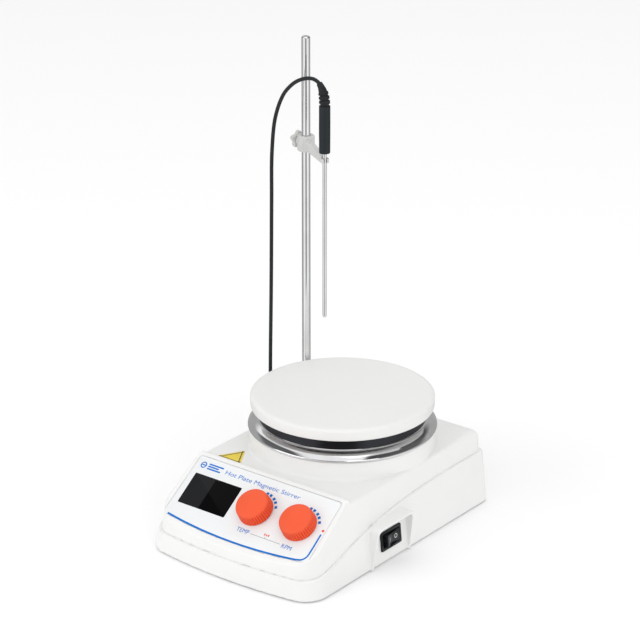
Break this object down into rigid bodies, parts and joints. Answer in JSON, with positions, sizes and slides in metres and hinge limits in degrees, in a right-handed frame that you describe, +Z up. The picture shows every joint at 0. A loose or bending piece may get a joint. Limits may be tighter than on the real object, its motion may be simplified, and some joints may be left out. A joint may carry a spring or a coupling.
{
  "type": "magnetic stirrer",
  "caption": "Hot-plate magnetic stirrer: sloping control panel with a display and two knobs, round heated plate, support rod with a clamp and a temperature probe on a lead.",
  "frame": {"origin": "on the table under the middle of the base", "axes": "+Z up, the control panel faces -Y, +X is to the right of someone facing the panel"},
  "size_m": [0.1689, 0.2669, 0.3447],
  "materials": {
    "white_plastic": "satin moulded",
    "overlay_film": "satin film",
    "black_gloss": "gloss",
    "orange_plastic": "satin moulded",
    "grey_plastic": "satin moulded",
    "dark_plastic": "satin moulded",
    "black_rubber": "satin",
    "plate_coating": "satin glaze on a metal plate",
    "polished_steel": "polished",
    "brushed_steel": "brushed",
    "zinc_steel": "zinc plated",
    "aluminium": "as extruded",
    "brass": "turned",
    "circuit_board": "solder mask",
    "copper_coil": "varnished windings",
    "mica": "matt",
    "ceramic_fibre": "fibrous",
    "yellow_label": "printed film",
    "clear_glass": "clear"
  },
  "bodies": {
    "base": {"lower_housing": "white_plastic", "upper_housing": "white_plastic", "foot_1": "black_rubber", "foot_2": "black_rubber", "foot_3": "black_rubber", "foot_4": "black_rubber", "sensor_lead_hang": "black_rubber", "sensor_lead_coil": "black_rubber", "sensor_lead_tail": "black_rubber", "housing_screw_1": "zinc_steel", "housing_screw_2": "zinc_steel", "housing_screw_3": "zinc_steel", "housing_screw_4": "zinc_steel", "encoder_temp": "zinc_steel", "encoder_speed": "zinc_steel", "sensor_socket": "zinc_steel", "plate_post_1": "zinc_steel", "plate_post_2": "zinc_steel", "plate_post_3": "zinc_steel", "motor_bracket": "zinc_steel", "motor_body": "zinc_steel", "sensor_plug": "zinc_steel", "panel_overlay": "overlay_film", "display_window": "black_gloss", "display_module": "dark_plastic", "switch_body": "dark_plastic", "inlet_socket": "dark_plastic", "control_board": "circuit_board", "power_board": "circuit_board", "heat_sink": "aluminium", "caution_label": "yellow_label", "transformer": "copper_coil", "hot_plate": "plate_coating", "plate_skirt": "polished_steel", "heater_disc": "mica", "insulation_disc": "ceramic_fibre", "support_rod": "brushed_steel", "rod_insert": "brass"},
    "temp_knob": {"knob_temp": "orange_plastic", "knob_shaft_temp": "aluminium"},
    "speed_knob": {"knob_speed": "orange_plastic", "knob_shaft_speed": "aluminium"},
    "rocker": {"switch_rocker": "dark_plastic"},
    "magnet_rotor": {"motor_shaft": "brushed_steel", "magnet_carrier": "aluminium", "magnet_1": "zinc_steel", "magnet_2": "zinc_steel"},
    "fuse_tray": {"fuse_drawer": "dark_plastic", "fuse": "clear_glass"},
    "probe": {"probe_tube": "brushed_steel", "probe_handle": "dark_plastic", "probe_boot": "black_rubber"},
    "clamp": {"clamp_body": "grey_plastic"},
    "hand_screw": {"thumbscrew": "grey_plastic"}
  },
  "joints": [
    {"name": "temp_knob_turn", "type": "hinge", "parent": "base", "child": "temp_knob", "pos_m": [0.0044, -0.07828, 0.04312], "axis": [0, -0.5776, 0.8163], "continuous": true},
    {"name": "speed_knob_turn", "type": "hinge", "parent": "base", "child": "speed_knob", "pos_m": [0.0434, -0.07828, 0.04312], "axis": [0, -0.5776, 0.8163], "continuous": true},
    {"name": "power_rocker", "type": "hinge", "parent": "base", "child": "rocker", "pos_m": [0.07345, -0.0125, 0.017], "axis": [-0.0965, 0, 0.9953], "range_deg": [-18, 0]},
    {"name": "magnet_spin", "type": "hinge", "parent": "base", "child": "magnet_rotor", "pos_m": [0, 0.0275, 0.07], "axis": [0, 0, 1], "continuous": true},
    {"name": "fuse_tray_slide", "type": "slide", "parent": "base", "child": "fuse_tray", "axis": [0, 1, 0], "range_m": [0, 0.018]},
    {"name": "probe_height", "type": "slide", "parent": "base", "child": "probe", "axis": [0, 0, 1], "range_m": [-0.0495, 0.06], "deforming": ["sensor_lead_hang"]},
    {"name": "clamp_height", "type": "slide", "parent": "probe", "child": "clamp", "axis": [0, 0, 1], "range_m": [-0.1, 0.003]},
    {"name": "hand_screw_turn", "type": "hinge", "parent": "clamp", "child": "hand_screw", "pos_m": [-0.0628, 0.0649, 0.2645], "axis": [-0.9397, 0.342, 0], "continuous": true}
  ]
}
